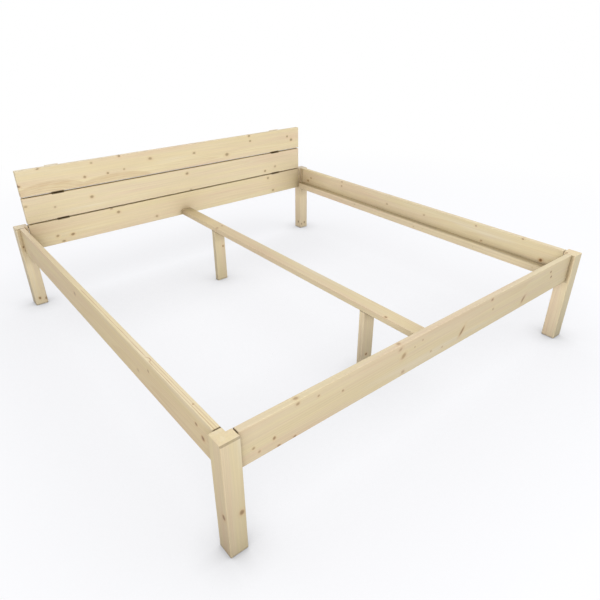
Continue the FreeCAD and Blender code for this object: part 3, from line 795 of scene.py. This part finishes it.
def screwTree():
    tree, w, given, out = newGroup(
        "wood screws", "GeometryNodeTree",
        [("Geometry", "Geometry"), ("Length", "Float"), ("Head Radius", "Float"), ("Crown", "Float"),
         ("Core Radius", "Float"), ("Thread Radius", "Float"), ("Pitch", "Float"),
         ("Thread Share", "Float"), ("Seed", "Int"), ("Material", "Material")],
        [("Geometry", "Geometry")])
    radius, core, crown = given["Head Radius"], given["Core Radius"], given["Crown"]

    def cone(lower, upper, depth, bottom, around):
        sizes = {"Vertices": around, "Radius Bottom": lower, "Radius Top": upper, "Depth": depth}
        return moved(w.node("GeometryNodeMeshCone", sizes).outputs["Mesh"], (0.0, 0.0, bottom))

    def moved(geometry, place):
        spot = w.node("ShaderNodeCombineXYZ", enumerate(place)).outputs[0]
        return w.node("GeometryNodeTransform", {"Geometry": geometry, "Translation": spot}).outputs[0]

    def joined(*parts):
        join = w.node("GeometryNodeJoinGeometry")
        for part in reversed(parts):
            tree.links.new(part, join.inputs[0])
        return join.outputs[0]

    # head and core
    headDepth = w.math("SUBTRACT", radius, core)
    sunk = cone(core, radius, headDepth, w.math("MULTIPLY", headDepth, -1.0), screw["headSides"])
    rise = cone(radius, w.product(radius, screw["crownShare"]), crown, 0.0, screw["headSides"])
    shankLength = w.math("SUBTRACT", given["Length"], headDepth)
    tip = w.math("MULTIPLY", given["Length"], -1.0)
    shank = cone(w.product(core, screw["tipShare"]), core, shankLength, tip, screw["coreSides"])
    body = w.node("GeometryNodeMeshBoolean", operation="UNION")
    for part in (sunk, rise, shank):
        tree.links.new(part, body.inputs["Mesh 2"])

    # cross recess
    long, wide, deep = [w.product(radius, share) for share in screw["recessShares"]]
    recess = []
    for sizes in ((long, wide, deep), (wide, long, deep)):
        size = w.node("ShaderNodeCombineXYZ", enumerate(sizes)).outputs[0]
        arm = w.node("GeometryNodeMeshCube", {"Size": size}).outputs["Mesh"]
        recess.append(moved(arm, (0.0, 0.0, crown)))
    cut = w.node("GeometryNodeMeshBoolean", {"Mesh 1": body.outputs[0]}, operation="DIFFERENCE")
    for part in recess:
        tree.links.new(part, cut.inputs["Mesh 2"])

    # thread
    threaded = w.product(given["Length"], given["Thread Share"])
    turns = w.math("DIVIDE", threaded, given["Pitch"])
    helix = w.node("GeometryNodeCurveSpiral", {
        "Resolution": screw["threadSteps"], "Rotations": turns, "End Radius": core, "Height": threaded,
        "Start Radius": w.product(core, screw["threadTipShare"])})
    ridge = w.node("GeometryNodeCurvePrimitiveCircle", {"Resolution": screw["threadSides"],
                                                        "Radius": given["Thread Radius"]})
    wound = w.node("GeometryNodeCurveToMesh", {"Curve": helix.outputs[0], "Profile Curve": ridge.outputs[0],
                                               "Fill Caps": True}).outputs[0]
    tipped = moved(wound, (0.0, 0.0, w.math("ADD", tip, screw["bareTip"])))
    whole = joined(cut.outputs[0], tipped)

    # one at each place, turned its own way
    aim = w.node("GeometryNodeInputNamedAttribute", {"Name": "aim"}, data_type="FLOAT_VECTOR").outputs[0]
    aimed = w.node("FunctionNodeAlignRotationToVector", {"Vector": aim}, axis="Z").outputs[0]
    spins = {2: 0.0, 3: screw["mostSpin"], "Seed": given["Seed"]}
    spin = w.node("FunctionNodeRandomValue", spins, data_type="FLOAT").outputs[1]
    turn = w.node("FunctionNodeAxisAngleToRotation", {"Axis": (0.0, 0.0, 1.0), "Angle": spin}).outputs[0]
    both = {"Rotation": aimed, "Rotate By": turn}
    turned = w.node("FunctionNodeRotateRotation", both, rotation_space="LOCAL").outputs[0]
    driven = {"Points": given["Geometry"], "Instance": whole, "Rotation": turned}
    placed = w.node("GeometryNodeInstanceOnPoints", driven).outputs[0]
    real = w.node("GeometryNodeRealizeInstances", {"Geometry": placed}).outputs[0]
    coated = w.node("GeometryNodeSetMaterial", {"Geometry": real, "Material": given["Material"]}).outputs[0]
    w.give(out, Geometry=coated)
    return tree


samePoint, sameEnd = 1e-6, 1e-5  # metres
placeDigits = 4                  # decimals that the order of the places goes by


def screwPlaces(name):
    shape = bmesh.new()
    shape.from_mesh(nodes[name].data)
    bmesh.ops.remove_doubles(shape, verts=shape.verts, dist=samePoint)
    waiting = set(shape.verts)
    while waiting:
        island, edge = set(), [waiting.pop()]
        while edge:
            vert = edge.pop()
            island.add(vert)
            edge += [other for link in vert.link_edges for other in [link.other_vert(vert)]
                     if other in waiting and not waiting.discard(other)]
        yield headAndAim([vert.co.copy() for vert in island])
    shape.free()


def headAndAim(points):
    spans = [max(point[axis] for point in points) - min(point[axis] for point in points)
             for axis in range(3)]
    length = max(spans)
    axis = spans.index(length)
    cross = [other for other in range(3) if other != axis]
    middle = sum(points, Vector()) / len(points)
    ends = {}
    for sign in (-1, 1):
        tip = max(points, key=lambda point: sign * point[axis])[axis]
        ring = [point for point in points if abs(point[axis] - tip) < sameEnd]
        ends[sign] = (max((point - ring[0]).length for point in ring), tip)
    sign = max(ends, key=lambda way: ends[way][0])  # the wider end is the head
    head, aim = Vector(), Vector()
    aim[axis] = sign
    head[axis] = ends[sign][1]
    for other in cross:
        head[other] = middle[other]
    return head, aim, length


screwMaker = screwTree()


def placeOrder(place):
    return tuple(round(value, placeDigits) for value in place[0])


def driveScrews(name, crown):
    places = sorted(screwPlaces(name), key=placeOrder)
    mesh = bpy.data.meshes.new("screw places")
    mesh.from_pydata([head for head, aim, length in places], [], [])
    aims = mesh.attributes.new("aim", "FLOAT_VECTOR", "POINT")
    for spot, (head, aim, length) in zip(aims.data, places):
        spot.vector = aim
    holder = bpy.data.objects.new("screw places", mesh)
    scene.collection.objects.link(holder)
    modifier = holder.modifiers.new("wood screws", "NODES")
    modifier.node_group = screwMaker
    settings = {
        "Length": places[0][2], "Head Radius": screw["headRadius"], "Crown": crown,
        "Core Radius": screw["coreRadius"], "Thread Radius": screw["threadRadius"], "Pitch": screw["pitch"],
        "Thread Share": screw["threadShare"], "Seed": screw["seed"], "Material": screwZinc}
    for item in screwMaker.interface.items_tree:
        if item.in_out == "INPUT" and item.name in settings:
            modifier[item.identifier] = settings[item.name]
    seen = holder.evaluated_get(bpy.context.evaluated_depsgraph_get())
    made = bpy.data.meshes.new_from_object(seen)
    bpy.data.objects.remove(holder)
    piece = bpy.data.objects.new(name + "_driven", made)
    scene.collection.objects.link(piece)
    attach(piece, "root")
    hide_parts(name)
    print(name, len(places), "screws,", len(made.polygons), "faces")


for name, crown in screw["crowns"].items():
    driveScrews(name, crown)
print("screws driven")


# Studio: a pale floor, a soft dome, two large lamps, an even light beside the camera and a low one behind

studio = {
    "floorHalf": 60.0,
    "floorBounce": (0.10, 0.10, 0.10),   # matt share of what the floor gives back to the wood
    "floorGlow": 0.55,                   # what the open floor further off gives back
    "floorGlowReach": 0.9,               # metres over which it grows, so that the feet stay darker
    "floorSeen": (0.13, 0.125, 0.12),    # matt share of what the camera sees of it
    "floorLift": (0.862, 0.869, 0.896),  # plain share
    "floorShades": [(0.8, 0.56), (0.12, 0.38), (0.015, 0.35)],  # metres it reaches, and what it takes away
    "shadeSamples": 16,
    "farWhite": (2.0, 4.5),              # metres from the bed over which it goes white
    "dome": 0.52,
    "lamps": {
        "key": {"place": (2.6, -1.0, 3.2), "size": 2.6, "power": 36.0},
        "high": {"place": (-2.4, -3.4, 2.6), "size": 2.0, "power": 34.0},
    },
    "evenLamp": {"place": (-1.5, -2.0, 1.48), "radius": 0.5, "strength": 12.2},
    "rearLamp": {"place": (1.0, 4.0, 0.9), "angle": 35.0, "strength": 0.75},  # wide and low, for the back
    "aim": (0.0, 0.0, 0.35),
}


def seenRays(w):
    path = w.node("ShaderNodeLightPath").outputs
    seen = w.math("MAXIMUM", path["Is Camera Ray"], path["Is Glossy Ray"])
    return w.math("MAXIMUM", seen, path["Is Transmission Ray"])


def layFloor():
    half = studio["floorHalf"]
    mesh = bpy.data.meshes.new("floor")
    corners = [(-half, -half, 0), (half, -half, 0), (half, half, 0), (-half, half, 0)]
    mesh.from_pydata(corners, [], [(0, 1, 2, 3)])
    floor = bpy.data.objects.new("floor", mesh)
    scene.collection.objects.link(floor)
    material, w = newMaterial("pale floor")
    near, far = studio["farWhite"]
    distance = w.length(w.node("ShaderNodeTexCoord").outputs["Object"])
    matt = w.node("ShaderNodeBsdfDiffuse", {"Color": rgb(*studio["floorSeen"])}).outputs[0]
    shade = 1.0
    for reach, strength in studio["floorShades"]:
        sky = w.node("ShaderNodeAmbientOcclusion", {"Distance": reach}, samples=studio["shadeSamples"])
        shade = w.product(w.math("MULTIPLY_ADD", sky.outputs["AO"], strength, 1.0 - strength), shade)
    lift = w.node("ShaderNodeEmission", {"Color": rgb(*studio["floorLift"]), "Strength": shade}).outputs[0]
    close = w.node("ShaderNodeAddShader", {0: matt, 1: lift}).outputs[0]
    plain = w.node("ShaderNodeEmission", {"Color": rgb(*white)}).outputs[0]
    seen = w.node("ShaderNodeMixShader", {0: w.ramp(distance, near, far), 1: close, 2: plain}).outputs[0]
    bounce = w.node("ShaderNodeBsdfDiffuse", {"Color": rgb(*studio["floorBounce"])}).outputs[0]
    away = w.node("ShaderNodeLightPath").outputs["Ray Length"]
    glowing = w.ramp(away, 0.0, studio["floorGlowReach"], 0.0, studio["floorGlow"])
    glow = w.node("ShaderNodeEmission", {"Strength": glowing}).outputs[0]
    given = w.node("ShaderNodeAddShader", {0: bounce, 1: glow}).outputs[0]
    both = w.node("ShaderNodeMixShader", {0: seenRays(w), 1: given, 2: seen}).outputs[0]
    w.node("ShaderNodeOutputMaterial", {"Surface": both})
    mesh.materials.append(material)


def raiseDome():
    world = bpy.data.worlds.new("studio dome")
    scene.world = world
    world.use_nodes = True
    world.node_tree.nodes.clear()
    w = Wiring(world.node_tree)
    light = w.node("ShaderNodeBackground", {"Color": rgb(*white), "Strength": studio["dome"]}).outputs[0]
    plain = w.node("ShaderNodeBackground", {"Color": rgb(*white), "Strength": 1.0}).outputs[0]
    both = w.node("ShaderNodeMixShader", {0: seenRays(w), 1: light, 2: plain}).outputs[0]
    w.node("ShaderNodeOutputWorld", {"Surface": both})


def hang(name, data, place):
    holder = bpy.data.objects.new(name, data)
    scene.collection.objects.link(holder)
    holder.location = place
    toAim = Vector(studio["aim"]) - Vector(place)
    holder.rotation_euler = toAim.to_track_quat("-Z", "Y").to_euler()


def hangLamps():
    for name, lamp in studio["lamps"].items():
        data = bpy.data.lights.new(name + " lamp", "AREA")
        data.size, data.energy = lamp["size"], lamp["power"]
        hang(name + " lamp", data, lamp["place"])
    even = studio["evenLamp"]
    data = bpy.data.lights.new("even lamp", "POINT")
    data.energy, data.shadow_soft_size = 1.0, even["radius"]
    data.use_nodes = True
    data.node_tree.nodes.clear()
    w = Wiring(data.node_tree)
    falloff = w.node("ShaderNodeLightFalloff", {"Strength": even["strength"]}).outputs["Constant"]
    glow = w.node("ShaderNodeEmission", {"Strength": falloff}).outputs[0]
    w.node("ShaderNodeOutputLight", {"Surface": glow})
    hang("even lamp", data, even["place"])
    rear = studio["rearLamp"]
    data = bpy.data.lights.new("rear lamp", "SUN")
    data.energy, data.angle = rear["strength"], radians(rear["angle"])
    hang("rear lamp", data, rear["place"])


layFloor()
raiseDome()
hangLamps()
print("studio lit")


camera = {
    "place": (-1.5027, -1.9975, 1.4773),
    "turn": (61.261, 0.044, -39.270),  # degrees about X, Y and Z
    "lens": 31.313,                    # millimetres
    "sensor": 36.0,
}
lens = bpy.data.cameras.new("photo view")
lens.sensor_width, lens.lens = camera["sensor"], camera["lens"]
eye = bpy.data.objects.new("photo view", lens)
eye.location = camera["place"]
eye.rotation_euler = [radians(angle) for angle in camera["turn"]]
scene.collection.objects.link(eye)
scene.camera = eye
print("camera set")
